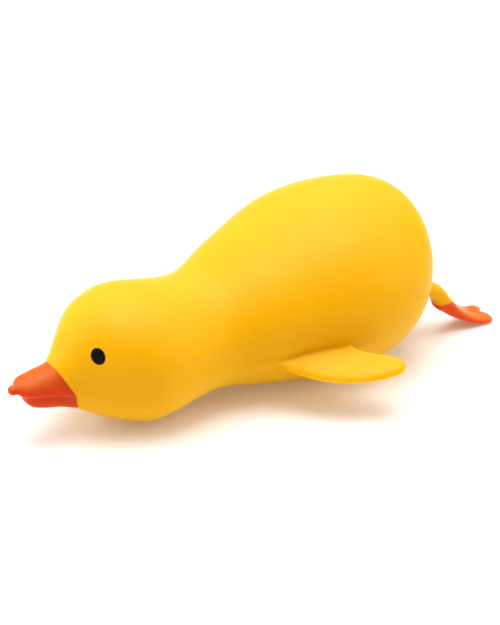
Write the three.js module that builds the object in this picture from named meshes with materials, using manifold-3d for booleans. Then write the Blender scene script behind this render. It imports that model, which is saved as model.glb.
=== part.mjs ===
import * as THREE from 'three';
import { LoftGeometry } from 'three/addons/geometries/LoftGeometry.js';
import { mergeVertices } from 'three/addons/utils/BufferGeometryUtils.js';
import Module from 'manifold-3d';

// Squishy duck: a squeeze toy of soft rubber, cast in one piece, that lies on its belly and chin.
// Millimetres, +Z up, the bill towards -Y and the duck's left side towards +X.

// Trunk: stations from the base of the bill back to the tail. Each gives its distance onward from the
// station before it; the height above the table of its widest line; its half width; and its rise above
// and its depth below that line.
const RIM = { onward: -54.3, widest: 15.1, halfWidth: 4.3, rise: 5, depth: 3.5 };
const SNOUT = { onward: 3.1, widest: 15.9, halfWidth: 6.5, rise: 7.4, depth: 5 };
const BROW = { onward: 2.5, widest: 16.6, halfWidth: 8.6, rise: 11, depth: 9.1 };
const FACE = { onward: 5.6, widest: 17.2, halfWidth: 14.6, rise: 15.1, depth: 13.2 };
const TEMPLE = { onward: 5.8, widest: 17.5, halfWidth: 18.3, rise: 16.4, depth: 16.1 };
const CROWN = { onward: 6.8, widest: 17.2, halfWidth: 20, rise: 17.1, depth: 17.3 };
const NAPE = { onward: 18, widest: 17.1, halfWidth: 17.5, rise: 14.7, depth: 14.7 };
const SHOULDER = { onward: 14.5, widest: 18.8, halfWidth: 22.6, rise: 18.9, depth: 18.9 };
const BACK = { onward: 19, widest: 20.9, halfWidth: 28.3, rise: 23.6, depth: 23.6 };
const LOIN = { onward: 18, widest: 22.3, halfWidth: 25.9, rise: 22.7, depth: 22.7 };
const RUMP = { onward: 10.8, widest: 25.3, halfWidth: 17.2, rise: 15.7, depth: 15.7 };
const TAIL = { onward: 5.6, widest: 29, halfWidth: 0, rise: 0, depth: 0 };
const TRUNK_RINGS = 66;
const TRUNK_SIDES = 44;

// Bill: stations from the tip back into the head, each with its distance onward, its half width and
// the rise of its ridge above its widest line. The tip is set out from the rim of the trunk.
const BILL_TIP = { onward: -9.5, halfWidth: 0, rise: 0 };
const BILL_FRONT = { onward: 1.3, halfWidth: 3.3, rise: 2.5 };
const BILL_MIDDLE = { onward: 3.3, halfWidth: 4.4, rise: 3.8 };
const BILL_BASE = { onward: 4.8, halfWidth: 4.9, rise: 5.4 };
const BILL_ROOT = { onward: 5, halfWidth: 6.4, rise: 5.6 };
const BILL_RINGS = 18;
const BILL_SIDES = 30;
const BILL_SQUARENESS = 2.4;
const BILL_PITCH = 9.5;
const MOUTH_HEIGHT = 14.2;
const UPPER_LIP = 2.1;
const LOWER_BILL_DEPTH = 3.1;
const LOWER_BILL_INSET = 0.7;
const LOWER_BILL_SETBACK = 2.6;
const LOWER_BILL_SQUARENESS = 3;

// Nub: the small round bead at the front of the upper bill.
const NUB_RADIUS = 1.2;
const NUB_REACH = 1.85;
const NUB_HEIGHT = 16.4;
const NUB_RINGS = 4;
const NUB_SIDES = 12;

// Wing: a flat fin on each flank, swept back, with a round edge. Its root runs into the flank, and
// starts at a distance onward from the shoulder.
const WING_ROOT_FRONT = { side: 20.3, onward: -3.2, height: 12.4 };
const WING_SPAN = 20.8;
const WING_LENGTH = 25.9;
const WING_ROOT_LENGTH = 18.6;
const WING_THICKNESS = 2.1;
const WING_EDGE_RADIUS = 1;
const WING_PITCH = 10;
const WING_DROOP = 9;
const WING_INSET = 8;
const WING_EDGE_STEPS = 3;
const WING_OUTLINE_STEPS = 9;

// Leg and webbed foot: stations from inside the rump to the toes, each with its distance out to the
// side, its distance onward, its height, its half width and its half thickness. The hip is set out
// from the tail.
const HIP = { side: 10, onward: -11.3, height: 15.5, halfWidth: 2.4, halfThickness: 2 };
const THIGH = { side: 11, onward: 7, height: 15.6, halfWidth: 2.4, halfThickness: 1.6 };
const KNEE = { side: 11.2, onward: 4.9, height: 13.2, halfWidth: 2.4, halfThickness: 1.9 };
const ANKLE = { side: 11.2, onward: 3.2, height: 8.8, halfWidth: 2.5, halfThickness: 2.1 };
const INSTEP = { side: 10.9, onward: 4.2, height: 5.1, halfWidth: 3.3, halfThickness: 1.5 };
const BALL = { side: 10.9, onward: 5.3, height: 2.3, halfWidth: 4, halfThickness: 1.1 };
const TOES = { side: 10.9, onward: 4.2, height: 1.4, halfWidth: 4.2, halfThickness: 0.9 };
const TOE_END = { side: 10.9, onward: 1.3, height: 1.3, halfWidth: 3.4, halfThickness: 0.5 };
const LEG_RINGS = 24;
const LEG_SIDES = 16;
const FOOT_SQUARENESS = 3;
const FOOT_ROLL = 7;
const TOE_NOTCH_RADIUS = 1.3;
const TOE_NOTCH_OFFSET = 0.5;
const TOE_NOTCH_SIDES = 16;
const WEB_HOLLOW_RADIUS = 8;
const WEB_HOLLOW_DEPTH = 0.45;
const WEB_HOLLOW_SIDES = 48;
const WEB_HOLLOW_RINGS = 32;

const wasm = await Module();
wasm.setup();

// A closed mesh with its shared corners merged and its empty triangles dropped, as a solid.
// Side -1 gives the mirror image across the middle plane.
function solid(geometry, side = 1) {
  const shell = new THREE.BufferGeometry();
  shell.setIndex(geometry.index);
  shell.setAttribute('position', geometry.attributes.position);
  shell.scale(side, 1, 1);
  const merged = mergeVertices(shell);
  const corners = merged.index.array;
  const triangles = [];
  for (let i = 0; i < corners.length; i += 3) {
    const [a, b, c] = corners.slice(i, i + 3);
    const empty = a === b || b === c || c === a;
    if (!empty) triangles.push(...(side > 0 ? [a, b, c] : [a, c, b]));
  }
  return new wasm.Manifold(new wasm.Mesh({
    numProp: 3,
    vertProperties: merged.attributes.position.array,
    triVerts: Uint32Array.from(triangles),
  }));
}

// A row of stations, each with its place along the duck added up from the row's start.
function row(start, stations) {
  let along = start;
  return stations.map((station) => {
    along += station.onward;
    return { ...station, along };
  });
}

const headRow = row(0, [RIM, SNOUT, BROW, FACE, TEMPLE, CROWN]);
const [rim] = headRow;
const bodyRow = row(headRow.at(-1).along, [NAPE, SHOULDER, BACK, LOIN, RUMP, TAIL]);
const [, shoulder] = bodyRow;
const tail = bodyRow.at(-1);
const trunkRow = [...headRow, ...bodyRow];
const billRow = row(rim.along, [BILL_TIP, BILL_FRONT, BILL_MIDDLE, BILL_BASE, BILL_ROOT]);
const [billTip] = billRow;
const legRow = row(tail.along, [HIP, THIGH, KNEE, ANKLE, INSTEP, BALL, TOES, TOE_END]);
const [ball, toes, toeEnd] = legRow.slice(-3);

// A smooth run of one measure through a row of stations. At a round end a place turns back and a
// half size changes sign, as they do on a closed form; at an open end the run goes straight on.
const turnsBack = (end, next) => next;
const changesSign = (end, next) => -next;
const goesOn = (end, next) => 2 * end - next;

function run(stations, measure, pastStart, pastEnd) {
  const values = stations.map((station) => station[measure]);
  const last = values.length - 1;
  const before = pastStart(values[0], values[1]);
  const after = pastEnd(values[last], values[last - 1]);
  const points = [before, ...values, after].map((value) => new THREE.Vector2(value, 0));
  const curve = new THREE.SplineCurve(points);
  return (t) => curve.getPoint((1 + t * last) / (last + 2)).x;
}

// A loft of closed rings, with a cap on each end that isn't round.
function loft(ringCount, sideCount, caps, place) {
  const sections = [];
  for (let i = 0; i <= ringCount; i += 1) {
    const ring = [];
    for (let k = 0; k < sideCount; k += 1) {
      ring.push(place(i / ringCount, (k / sideCount) * 2 * Math.PI));
    }
    sections.push(ring);
  }
  return new LoftGeometry(sections, caps);
}

// Cosine and sine of a rounded square: squareness 2 is a circle, and more is squarer.
function squared(value, squareness) {
  return Math.sign(value) * Math.abs(value) ** (2 / squareness);
}

// Trunk: head, neck and body in one smooth form of egg-shaped rings, open at the bill and round at the tail.
function trunk() {
  const along = run(trunkRow, 'along', goesOn, turnsBack);
  const widest = run(trunkRow, 'widest', goesOn, turnsBack);
  const halfWidth = run(trunkRow, 'halfWidth', goesOn, changesSign);
  const rise = run(trunkRow, 'rise', goesOn, changesSign);
  const depth = run(trunkRow, 'depth', goesOn, changesSign);
  return solid(loft(TRUNK_RINGS, TRUNK_SIDES, { capStart: true }, (t, angle) => {
    const reach = Math.sin(angle) > 0 ? rise(t) : depth(t);
    return new THREE.Vector3(
      -halfWidth(t) * Math.cos(angle),
      along(t),
      widest(t) + reach * Math.sin(angle),
    );
  }));
}

// Bill: an arched upper half that curls under at its lip, and a flatter lower half set in below it.
// The crease between the two is the mouth. The whole bill is tipped up about its front end.
function bill() {
  const along = run(billRow, 'along', turnsBack, goesOn);
  const halfWidth = run(billRow, 'halfWidth', changesSign, goesOn);
  const rise = run(billRow, 'rise', changesSign, goesOn);
  const fullness = (t) => halfWidth(t) / BILL_BASE.halfWidth;
  const widest = MOUTH_HEIGHT + UPPER_LIP;
  const caps = { capEnd: true };

  const upper = loft(BILL_RINGS, BILL_SIDES, caps, (t, angle) => {
    const arch = Math.sin(angle) > 0 ? rise(t) : UPPER_LIP * fullness(t);
    return new THREE.Vector3(
      -halfWidth(t) * squared(Math.cos(angle), BILL_SQUARENESS),
      along(t),
      widest + arch * squared(Math.sin(angle), BILL_SQUARENESS),
    );
  });

  const lower = loft(BILL_RINGS, BILL_SIDES, caps, (t, angle) => {
    const half = halfWidth(t) - LOWER_BILL_INSET * fullness(t);
    const reach = Math.sin(angle) > 0 ? UPPER_LIP : LOWER_BILL_DEPTH;
    return new THREE.Vector3(
      -half * squared(Math.cos(angle), LOWER_BILL_SQUARENESS),
      along(t) + LOWER_BILL_SETBACK,
      MOUTH_HEIGHT + reach * fullness(t) * squared(Math.sin(angle), LOWER_BILL_SQUARENESS),
    );
  });

  const nubLength = NUB_REACH + NUB_RADIUS;
  const nub = new THREE.CapsuleGeometry(NUB_RADIUS, nubLength, NUB_RINGS, NUB_SIDES);
  nub.translate(0, billTip.along - NUB_REACH + NUB_RADIUS + nubLength / 2, NUB_HEIGHT);

  const pieces = [upper, lower, nub].map((piece) => {
    piece.translate(0, -billTip.along, -widest);
    piece.rotateX(-THREE.MathUtils.degToRad(BILL_PITCH));
    piece.translate(0, billTip.along, widest);
    return solid(piece);
  });
  return pieces[0].add(pieces[1]).add(pieces[2]);
}

// Wing: its outline from the root along the leading edge, round the tip and back.
function wing(side) {
  const outline = new THREE.Shape();
  outline.moveTo(-WING_INSET, 0);
  outline.lineTo(0, 0.03 * WING_LENGTH);
  outline.bezierCurveTo(
    0.42 * WING_SPAN, 0.07 * WING_LENGTH,
    0.93 * WING_SPAN, 0.43 * WING_LENGTH,
    WING_SPAN, 0.83 * WING_LENGTH,
  );
  outline.bezierCurveTo(
    WING_SPAN, 0.95 * WING_LENGTH,
    0.92 * WING_SPAN, WING_LENGTH,
    0.82 * WING_SPAN, 0.97 * WING_LENGTH,
  );
  outline.bezierCurveTo(
    0.66 * WING_SPAN, 0.93 * WING_LENGTH,
    0.5 * WING_SPAN, 0.76 * WING_LENGTH,
    0.28 * WING_SPAN, WING_ROOT_LENGTH,
  );
  outline.lineTo(-WING_INSET, WING_ROOT_LENGTH);
  const flat = WING_THICKNESS - 2 * WING_EDGE_RADIUS;
  const fin = new THREE.ExtrudeGeometry(outline, {
    depth: flat,
    bevelThickness: WING_EDGE_RADIUS,
    bevelSize: WING_EDGE_RADIUS,
    bevelOffset: -WING_EDGE_RADIUS,
    bevelSegments: WING_EDGE_STEPS,
    curveSegments: WING_OUTLINE_STEPS,
  });
  fin.translate(0, 0, -flat / 2);
  fin.rotateY(THREE.MathUtils.degToRad(WING_DROOP));
  fin.rotateX(THREE.MathUtils.degToRad(WING_PITCH));
  const rootAlong = shoulder.along + WING_ROOT_FRONT.onward;
  fin.translate(WING_ROOT_FRONT.side, rootAlong, WING_ROOT_FRONT.height);
  return solid(fin, side);
}

// Leg: one strap that leaves the rump, bends down at the knee and spreads into a webbed foot, which is
// rolled a little onto its outer edge. A notch parts the two toes and a hollow dips the web between them.
function leg(side) {
  const path = new THREE.CatmullRomCurve3(
    legRow.map((station) => new THREE.Vector3(station.side, station.along, station.height)),
    false,
    'catmullrom',
  );
  const halfWidth = run(legRow, 'halfWidth', goesOn, goesOn);
  const halfThickness = run(legRow, 'halfThickness', goesOn, goesOn);
  const roll = THREE.MathUtils.degToRad(FOOT_ROLL);
  const outward = new THREE.Vector3(Math.cos(roll), 0, -Math.sin(roll));
  const strap = loft(LEG_RINGS, LEG_SIDES, { capStart: true, capEnd: true }, (t, angle) => {
    const tangent = path.getTangent(t);
    const up = outward.clone().cross(tangent).normalize();
    const across = -halfWidth(t) * squared(Math.cos(angle), FOOT_SQUARENESS);
    const above = halfThickness(t) * squared(Math.sin(angle), FOOT_SQUARENESS);
    return path.getPoint(t).addScaledVector(up, above).addScaledVector(outward, across);
  });

  const notch = new THREE.CylinderGeometry(
    TOE_NOTCH_RADIUS,
    TOE_NOTCH_RADIUS,
    ANKLE.height,
    TOE_NOTCH_SIDES,
  );
  notch.rotateX(Math.PI / 2);
  notch.translate(toeEnd.side - TOE_NOTCH_OFFSET, toeEnd.along, 0);

  const [webBack, webFront] = [ball, toes].map(
    (station) => new THREE.Vector3(station.side, station.along, station.height + station.halfThickness),
  );
  const webUp = outward.clone().cross(webFront.clone().sub(webBack)).normalize();
  const hollowMiddle = webBack.clone().lerp(webFront, 0.5);
  hollowMiddle.addScaledVector(webUp, WEB_HOLLOW_RADIUS - WEB_HOLLOW_DEPTH);
  const hollow = new THREE.SphereGeometry(WEB_HOLLOW_RADIUS, WEB_HOLLOW_SIDES, WEB_HOLLOW_RINGS);
  hollow.translate(hollowMiddle.x, hollowMiddle.y, hollowMiddle.z);
  return solid(strap, side).subtract(solid(notch, side)).subtract(solid(hollow, side));
}

// The table that the duck lies on presses its belly and chin flat.
function table() {
  const size = 2 * (toeEnd.along - billTip.along);
  const slab = new THREE.BoxGeometry(size, size, size);
  slab.translate(0, 0, -size / 2);
  return solid(slab);
}

let rubber = trunk().add(bill());
for (const side of [1, -1]) {
  rubber = rubber.add(wing(side)).add(leg(side));
}
const cast = rubber.subtract(table()).getMesh();

const geometry = new THREE.BufferGeometry();
geometry.setAttribute('position', new THREE.BufferAttribute(cast.vertProperties, 3));
geometry.setIndex(new THREE.BufferAttribute(cast.triVerts, 1));
geometry.computeBoundingBox();
const centre = geometry.boundingBox.getCenter(new THREE.Vector3());

const yellowRubber = new THREE.MeshStandardMaterial({ color: 0xfcc42c, roughness: 0.55, metalness: 0 });
const duck = new THREE.Mesh(geometry, yellowRubber);
duck.name = 'duck';
duck.position.y = -centre.y;

const part = new THREE.Group();
part.add(duck);

export default part;
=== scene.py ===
import math

import bmesh
import bpy
import numpy as np
from mathutils import Matrix, Vector
from mathutils.kdtree import KDTree


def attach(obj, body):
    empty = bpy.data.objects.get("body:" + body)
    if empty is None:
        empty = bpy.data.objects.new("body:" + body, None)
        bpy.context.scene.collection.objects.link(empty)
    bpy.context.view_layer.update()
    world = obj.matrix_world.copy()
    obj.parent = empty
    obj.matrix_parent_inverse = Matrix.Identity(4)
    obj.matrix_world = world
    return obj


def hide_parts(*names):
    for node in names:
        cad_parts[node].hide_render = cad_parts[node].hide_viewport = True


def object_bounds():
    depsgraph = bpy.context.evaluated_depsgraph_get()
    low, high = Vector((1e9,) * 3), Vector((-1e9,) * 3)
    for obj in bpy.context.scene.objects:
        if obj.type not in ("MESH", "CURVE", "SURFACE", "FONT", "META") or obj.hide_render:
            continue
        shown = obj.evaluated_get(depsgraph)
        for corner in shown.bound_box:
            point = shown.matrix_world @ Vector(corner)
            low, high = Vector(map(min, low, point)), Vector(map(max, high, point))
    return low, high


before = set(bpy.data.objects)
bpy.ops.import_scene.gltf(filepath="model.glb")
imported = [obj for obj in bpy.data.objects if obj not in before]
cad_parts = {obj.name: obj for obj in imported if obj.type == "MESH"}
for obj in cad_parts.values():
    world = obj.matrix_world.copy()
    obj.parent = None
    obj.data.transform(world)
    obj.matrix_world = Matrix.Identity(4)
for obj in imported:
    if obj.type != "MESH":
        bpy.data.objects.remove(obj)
cad_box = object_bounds()

# The duck: one casting of soft thermoplastic rubber. Head, trunk, bill, wings, legs and feet come out of
# one mould together, so every root is a soft fillet and every edge is round. The bill and feet are
# sprayed orange and the eyes are printed black on the bare yellow rubber.
MM = 0.001
WELD = 0.001 * MM
GRAIN = 0.32 * MM
EVENING = (0.5, -0.53) * 12
ROUNDING = {"factor": 0.5, "turns": 80}
LIGHTENED = 0.4
LEAST_SOFTNESS = 0.012
BILL_ROOT = {"line": -49.55, "lean": 0.42, "fade": (-2, 1.5)}
LEG_ROOT = {"along": (45, 49), "top": (16.5, 19)}
WING_ROOT = {"side": 20.3, "along": -5.33, "sweep": 0.31}
WING_REACH = {"along": (-14, 24), "top": 17}
WING_SHOULDER = {"along": (3, -3), "width": 2.5}
WING_FILLET = {"root": (-4.5, -0.5), "root_share": 0.88, "blade": (0, 2.5), "blade_share": 0.12}
WING_PLANE = {"height": 12.4, "droop": -0.156, "pitch": 0.176, "half_thickness": 1.05}
WING_EDGE = {"width": 3.5, "thickness": 0.4, "steep": 0.4, "fade": (0, 4)}
WING_PULLS = {
    "front": {"at": (20.6, -5.8, 13.2), "shift": (0, -1.9, 1.2), "radius": 3.4},
    "shoulder": {"at": (23.4, 1, 14.1), "shift": (0, 0, 1), "radius": 4},
    "middle": {"at": (25.3, 6.7, 14.8), "shift": (0, 0, 1), "radius": 4},
    "back": {"at": (26.9, 13.2, 15.2), "shift": (0, -1.4, 0.8), "radius": 3.4},
}
HEEL = {"along": 52.7, "height": 8.6, "radius": 1.7, "swell": 0.65}
NUB = {"along": (-67.7, -68.7), "swell": 0.12}
MOUTH = {"along": -58.61, "height": 13.42, "slope": -0.217}
GROOVE = {"depth": 0.22, "half_width": 0.4, "corner": (0.3, -0.5), "front": (-67, -65)}


def smoothstep(low, high, value):
    t = np.clip((value - low) / (high - low), 0, 1)
    return t * t * (3 - 2 * t)


def behind_bill(along, height):
    """How far a place lies behind the leaning line where the bill leaves the face."""
    return along + BILL_ROOT["lean"] * height - BILL_ROOT["line"]


def over_mouth(along, height):
    """How far a place lies over the sloping line between the upper and lower bill."""
    return height - MOUTH["height"] - MOUTH["slope"] * (along - MOUTH["along"])


def past_wing_root(side, along):
    """How far a place lies out beyond the line where the wing leaves the trunk."""
    return np.abs(side) - WING_ROOT["side"] - WING_ROOT["sweep"] * (along - WING_ROOT["along"])


def beside_wing(along, height):
    """Whether a place lies along the wing and no higher than it."""
    first, last = WING_REACH["along"]
    return (along > first) & (along < last) & (height < WING_REACH["top"])


def softness(side, along, height):
    """How far the rubber is rounded off at a place: fully on the trunk, little on thin forms."""
    bill = smoothstep(*BILL_ROOT["fade"], behind_bill(along, height))
    leg = 1 - smoothstep(*LEG_ROOT["along"], along) * (1 - smoothstep(*LEG_ROOT["top"], height))
    past_root = past_wing_root(side, along)
    past_root = past_root + WING_SHOULDER["width"] * smoothstep(*WING_SHOULDER["along"], along)
    wing = 1 - WING_FILLET["root_share"] * smoothstep(*WING_FILLET["root"], past_root)
    wing = wing - WING_FILLET["blade_share"] * smoothstep(*WING_FILLET["blade"], past_root)
    wing = np.where(beside_wing(along, height), wing, 1)
    return LEAST_SOFTNESS + (1 - LEAST_SOFTNESS) * np.minimum(np.minimum(bill, leg), wing)


def applied(piece):
    """Bakes a piece's modifiers into its mesh."""
    shaped = piece.evaluated_get(bpy.context.evaluated_depsgraph_get())
    mesh = bpy.data.meshes.new_from_object(shaped)
    piece.modifiers.clear()
    piece.data = mesh


def measured(mesh, name):
    """A mesh's corners, or their normals, as three rows of numbers."""
    numbers = np.empty(3 * len(mesh.vertices), np.float32)
    if name == "co":
        mesh.vertices.foreach_get("co", numbers)
    else:
        mesh.vertex_normals.foreach_get("vector", numbers)
    return numbers.reshape(-1, 3).T.astype(float)


duck = bpy.data.objects.new("soft_duck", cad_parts["duck"].data.copy())
bpy.context.collection.objects.link(duck)
skin = bmesh.new()
skin.from_mesh(duck.data)
bmesh.ops.remove_doubles(skin, verts=skin.verts, dist=WELD)
skin.to_mesh(duck.data)
skin.free()

grain = duck.modifiers.new("grain", "REMESH")
grain.mode = "VOXEL"
grain.voxel_size = GRAIN
for factor in EVENING:
    evening = duck.modifiers.new("evening", "SMOOTH")
    evening.factor = factor
    evening.iterations = 1
applied(duck)

soft = duck.vertex_groups.new(name="soft")
for index, weight in enumerate(softness(*measured(duck.data, "co") / MM)):
    soft.add([index], weight, "REPLACE")
rounding = duck.modifiers.new("rounding", "SMOOTH")
rounding.vertex_group = soft.name
rounding.factor = ROUNDING["factor"]
rounding.iterations = ROUNDING["turns"]
applied(duck)

# The mouth line is pressed in, the nub and heel swell, and the root of the wing is drawn up and forward.
corners = measured(duck.data, "co")
normals = measured(duck.data, "normal")
side, along, height = corners / MM
on_bill = smoothstep(*GROOVE["corner"], behind_bill(along, height))
on_bill = on_bill * smoothstep(*GROOVE["front"], along)
groove = GROOVE["depth"] * on_bill * np.exp(-(over_mouth(along, height) / GROOVE["half_width"]) ** 2)
corners = corners - groove * MM * normals
swell = NUB["swell"] * MM * smoothstep(*NUB["along"], along)
corners[0] += swell * normals[0]
corners[2] += swell * normals[2]
heel = (along - HEEL["along"]) ** 2 + (height - HEEL["height"]) ** 2
heel = HEEL["swell"] * MM * np.exp(-heel / HEEL["radius"] ** 2) * np.clip(-normals[1], 0, 1)
corners += heel * normals
for pull in WING_PULLS.values():
    away = np.abs(side) - pull["at"][0], along - pull["at"][1], height - pull["at"][2]
    share = np.exp(-sum(gap ** 2 for gap in away) / pull["radius"] ** 2)
    corners += MM * share * np.array(pull["shift"])[:, None]

# The wing thins towards its edge: the nearer a corner is to the rim, the closer it sinks to the underside.
past_root = past_wing_root(side, along)
under = WING_PLANE["height"] - WING_PLANE["half_thickness"]
under = under + WING_PLANE["droop"] * (np.abs(side) - WING_ROOT["side"])
under = under + WING_PLANE["pitch"] * (along - WING_ROOT["along"])
on_wing = (past_root > 0) & beside_wing(along, height)
edge = np.flatnonzero(on_wing & (np.abs(normals[2]) < WING_EDGE["steep"]))
rim = KDTree(len(edge))
for corner in edge:
    rim.insert((side[corner], along[corner], 0), corner)
rim.balance()
for corner in np.flatnonzero(on_wing):
    inside = rim.find((side[corner], along[corner], 0))[2] / WING_EDGE["width"]
    slope = (1 - max(0, 1 - inside) ** 2) ** 0.5
    slope = WING_EDGE["thickness"] + (1 - WING_EDGE["thickness"]) * slope
    slope = 1 + (slope - 1) * smoothstep(*WING_EDGE["fade"], past_root[corner])
    corners[2, corner] += (height[corner] - under[corner]) * (slope - 1) * MM

low, high = (np.array(corner)[:, None] for corner in cad_box)
duck.data.vertices.foreach_set("co", np.clip(corners, low, high).T.ravel())
lightening = duck.modifiers.new("lightening", "DECIMATE")
lightening.ratio = LIGHTENED
lightening.vertex_group = soft.name
applied(duck)
duck.vertex_groups.clear()
duck.data.shade_smooth()
upward = duck.data.attributes.new("upward", "FLOAT", "POINT")
upward.data.foreach_set("value", measured(duck.data, "normal")[2].astype(np.float32))


class Wire:
    """A socket of a material, for use in plain arithmetic."""

    def __init__(self, tree, socket=None):
        self.tree = tree
        self.socket = socket

    def node(self, kind, settings, sockets, output=0):
        made = self.tree.nodes.new("ShaderNode" + kind)
        for name, value in settings.items():
            setattr(made, name, value)
        for name, value in sockets.items():
            if isinstance(value, Wire):
                self.tree.links.new(value.socket, made.inputs[name])
            else:
                made.inputs[name].default_value = value
        return Wire(self.tree, made.outputs[output])

    def math(self, operation, *values):
        return self.node("Math", {"operation": operation}, dict(enumerate(values)))

    def __add__(self, other):
        return self.math("ADD", self, other)

    def __radd__(self, other):
        return self.math("ADD", other, self)

    def __sub__(self, other):
        return self.math("SUBTRACT", self, other)

    def __mul__(self, other):
        return self.math("MULTIPLY", self, other)

    def __rmul__(self, other):
        return self.math("MULTIPLY", other, self)

    def __pow__(self, other):
        return self.math("POWER", self, other)

    def __abs__(self):
        return self.math("ABSOLUTE", self)

    def above(self, low, high):
        return self.node(
            "MapRange",
            {"interpolation_type": "SMOOTHSTEP"},
            {"Value": self, "From Min": low, "From Max": high},
        )

    def below(self, line, edge):
        return self.above(line + edge, line - edge)

    def mixed(self, first, second):
        return self.node("Mix", {"data_type": "RGBA"}, {0: self, 6: first, 7: second}, 2)


RUBBER_YELLOW = (0.745, 0.376, 0.001, 1)
RUBBER_PALE = (0.755, 0.386, 0.002, 1)
# A painted sheen: paler yellow for rubber that faces up.
RUBBER_SHEEN_YELLOW = (0.74, 0.388, 0.016, 1)
# Painted light and shade: the bill paint comes as a lit copy for its top and a darker shaded copy for the
# upper bill's side. The lower bill's colour is the paint's own.
BILL_SHADED_ORANGE = (0.585, 0.036, 0.0005, 1)
BILL_LOWER_ORANGE = (0.60, 0.053, 0.001, 1)
BILL_LIT_ORANGE = (0.56, 0.107, 0.011, 1)
# Painted light and shade: the foot paint comes as a shaded copy for the sides and a lit copy for the top.
FOOT_SHADED_ORANGE = (0.64, 0.056, 0.0005, 1)
FOOT_LIT_ORANGE = (0.60, 0.145, 0.017, 1)
EYE_BLACK = (0.002, 0.002, 0.0025, 1)
CLOUD = {"Scale": 45, "Detail": 2, "Roughness": 0.5}
CLOUD_RANGE = (0.3, 0.7)
SPECK = {"Scale": 2600, "Detail": 2, "Roughness": 0.6}
SPECK_BUMP = {"Strength": 0.05, "Distance": 0.02 * MM}
BILL_PAINT = {"line": -49.75, "edge": 0.12, "bulge": 0.45, "height": 13.2, "spread": 2.3}
LOWER_BILL_EDGE = 0.3
FOOT_PAINT = {"top": 9.6, "edge": 0.45, "along": (48.5, 49.5)}
EYE = {"side": 9.5, "along": -50.48, "height": 24.21, "radius": 1.98, "edge": 0.1}
EYE_OVAL = {"outward": 0.8, "onward": 0.6, "narrow": 0.13, "tilt": 0.36}
# How far paint must face up to take its painted light.
PAINT_LIT_FACING = (-0.1, 0.9)
# How far rubber must face up to take the painted sheen.
RUBBER_SHEEN_FACING = (0.5, 1.05)
ROUGHNESS = {"least": 0.46, "cloud": 0.08, "speck": 0.06}
COAT = {"rubber": 0.5, "paint": 0.4}
RUBBER_SOCKETS = {
    "Coat IOR": 1.2,
    "Coat Roughness": 0.35,
    "Subsurface Weight": 0.8,
    "Subsurface Radius": (1.0, 0.8, 0.1),
    "Subsurface Scale": 2.5 * MM,
    "Specular IOR Level": 0.03,
}


def set_sockets(shader, values):
    """Sets the constants of a material on its shader's own sockets."""
    for name, value in values.items():
        shader.inputs[name].default_value = value


rubber = bpy.data.materials.new("painted_rubber")
rubber.use_nodes = True
tree = rubber.node_tree
shader = tree.nodes["Principled BSDF"]
set_sockets(shader, RUBBER_SOCKETS)
wire = Wire(tree)
place = wire.node("TexCoord", {}, {}, "Object")
metres = {axis: wire.node("SeparateXYZ", {}, {0: place}, axis) for axis in "XYZ"}
side, along, height = (metres[axis] * (1 / MM) for axis in "XYZ")
cloud = wire.node("TexNoise", {}, {"Vector": place, **CLOUD}, "Fac")
speck = wire.node("TexNoise", {}, {"Vector": place, **SPECK}, "Fac")

# Where the paint lies: before a line that bulges at the cheek, on the foot, and in two tilted ovals.
cheek = (height - BILL_PAINT["height"]) * (1 / BILL_PAINT["spread"])
cheek = wire.math("EXPONENT", -1 * cheek ** 2)
from_bill = along + BILL_ROOT["lean"] * height - BILL_PAINT["bulge"] * cheek
bill_paint = from_bill.below(BILL_PAINT["line"], BILL_PAINT["edge"])
foot_paint = height.below(FOOT_PAINT["top"], FOOT_PAINT["edge"]) * along.above(*FOOT_PAINT["along"])
outward = abs(side) - EYE["side"]
onward = along - EYE["along"]
over = height - EYE["height"]
across = EYE_OVAL["outward"] * outward + EYE_OVAL["onward"] * onward
eye_offset = outward * outward + onward * onward + over * over
eye_offset = eye_offset + EYE_OVAL["narrow"] * across * across + EYE_OVAL["tilt"] * across * over
eye_print = (eye_offset ** 0.5).below(EYE["radius"], EYE["edge"])

# Painted light: rubber and paint are drawn paler where they face up. The yellow gets a painted sheen, and
# the bill and feet get lit tops and painted shade on their sides.
facing_up = wire.node("Attribute", {"attribute_name": upward.name}, {}, "Fac")
on_top = facing_up.above(*PAINT_LIT_FACING)
# Painted shade: the upper bill's side over the mouth line is drawn darker than the lower bill.
upper_bill = over_mouth(along, height).above(-LOWER_BILL_EDGE, LOWER_BILL_EDGE)
bill_shaded_side = upper_bill.mixed(BILL_LOWER_ORANGE, BILL_SHADED_ORANGE)
colour = cloud.above(*CLOUD_RANGE).mixed(RUBBER_YELLOW, RUBBER_PALE)
# Painted sheen: rubber that faces up is drawn paler.
colour = facing_up.above(*RUBBER_SHEEN_FACING).mixed(colour, RUBBER_SHEEN_YELLOW)
# Painted light and shade: the foot's paint is lighter on top and darker on its sides.
colour = foot_paint.mixed(colour, on_top.mixed(FOOT_SHADED_ORANGE, FOOT_LIT_ORANGE))
# Painted light and shade: the bill's paint is lighter on top and darker on its sides.
colour = bill_paint.mixed(colour, on_top.mixed(bill_shaded_side, BILL_LIT_ORANGE))
colour = eye_print.mixed(colour, EYE_BLACK)
painted = wire.math("MAXIMUM", wire.math("MAXIMUM", bill_paint, foot_paint), eye_print)
varying = {
    "Base Color": colour,
    "Roughness": ROUGHNESS["least"] + ROUGHNESS["cloud"] * cloud + ROUGHNESS["speck"] * speck,
    "Coat Weight": COAT["rubber"] + COAT["paint"] * painted,
    "Normal": wire.node("Bump", {}, {"Height": speck, **SPECK_BUMP}),
}
for name, value in varying.items():
    tree.links.new(value.socket, shader.inputs[name])

duck.data.materials.clear()
duck.data.materials.append(rubber)
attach(duck, "root")
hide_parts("duck")

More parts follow.
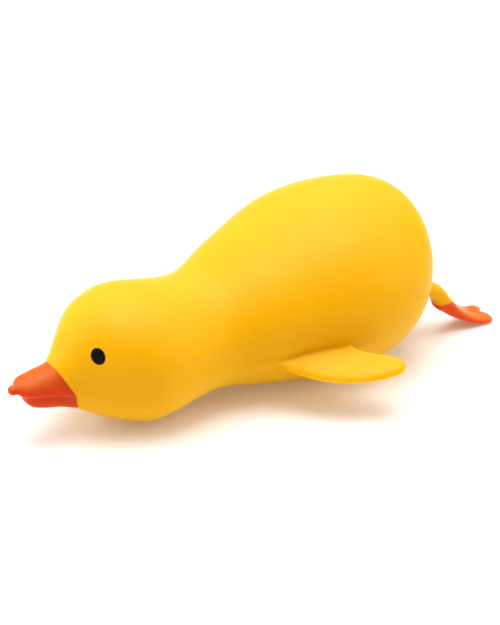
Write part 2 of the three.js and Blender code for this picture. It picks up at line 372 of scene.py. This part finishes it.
# The table: a pale matt sheet that the duck lies on, wide enough to fill the view. It glows a little in a
# warm
# tint though it is no lamp: painted light that lifts the shadow under the duck and warms it orange.
SHEET_SIZE = 6.0
SHEET_SOCKETS = {
    "Base Color": (0.75, 0.75, 0.76, 1),
    "Roughness": 0.9,
    "Specular IOR Level": 0,
    # Painted light: the sheet's warm glow.
    "Emission Color": (0.2, 0.15, 0.09, 1),
    "Emission Strength": 1,
}
sheet = bmesh.new()
bmesh.ops.create_grid(sheet, x_segments=1, y_segments=1, size=SHEET_SIZE / 2)
table = bpy.data.objects.new("table", bpy.data.meshes.new("table"))
sheet.to_mesh(table.data)
sheet.free()
bpy.context.collection.objects.link(table)
glowing_white_sheet = bpy.data.materials.new("glowing_white_sheet")
glowing_white_sheet.use_nodes = True
set_sockets(glowing_white_sheet.node_tree.nodes["Principled BSDF"], SHEET_SOCKETS)
table.data.materials.append(glowing_white_sheet)

# The studio: a soft box and a wide ceiling over the duck, a soft panel in front of it and one behind, and
# white walls all round. The powers were fitted to the brightness of the photo.
WALL_BRIGHTNESS = 0.24
WALL_WHITE = (1, 1, 1, 1)
LAMPS = {
    "soft_box": {"place": (0, 0, 1), "width": 0.8, "power": 10.7},
    "ceiling": {"place": (0, 0, 1), "width": 2, "power": 10.3},
    "front_panel": {"place": (-0.69, -0.98, 0.62), "width": 1, "power": 10.5},
    "back_panel": {"place": (0.69, 0.98, 0.62), "width": 1, "power": 5.8},
}
for name, size in LAMPS.items():
    lamp = bpy.data.objects.new(name, bpy.data.lights.new(name, "AREA"))
    lamp.data.size = size["width"]
    lamp.data.energy = size["power"]
    lamp.location = size["place"]
    lamp.rotation_euler = Vector(size["place"]).to_track_quat("Z", "Y").to_euler()
    bpy.context.collection.objects.link(lamp)
walls = bpy.data.worlds.new("white_walls")
walls.use_nodes = True
set_sockets(walls.node_tree.nodes["Background"], {"Color": WALL_WHITE, "Strength": WALL_BRIGHTNESS})
bpy.context.scene.world = walls
bpy.context.scene.view_settings.view_transform = "Standard"

# The camera: a long lens in front of the duck and to its left, looking down on it and held without roll.
# Its direction, distance and aim were fitted to the outline in the photo.
AZIMUTH = math.radians(55)
ELEVATION = math.radians(27)
STAND_OFF = 0.56
AIM = (3.536 * MM, 16.405 * MM)
MIDDLE = Vector((0, -4.1013 * MM, 0))
SENSOR_WIDTH = 36
LENS_PIXELS = 2184
FRAME_PIXELS = 625
right = Vector((math.cos(AZIMUTH), math.sin(AZIMUTH), 0))
back = Vector((
    math.sin(AZIMUTH) * math.cos(ELEVATION),
    -math.cos(AZIMUTH) * math.cos(ELEVATION),
    math.sin(ELEVATION),
))
up = back.cross(right)
camera = bpy.data.objects.new("camera", bpy.data.cameras.new("camera"))
camera.data.sensor_width = SENSOR_WIDTH
camera.data.lens = SENSOR_WIDTH * LENS_PIXELS / FRAME_PIXELS
camera.matrix_world = Matrix.Translation(
    MIDDLE + AIM[0] * right + AIM[1] * up + STAND_OFF * back
) @ Matrix((right, up, back)).transposed().to_4x4()
bpy.context.collection.objects.link(camera)
bpy.context.scene.camera = camera
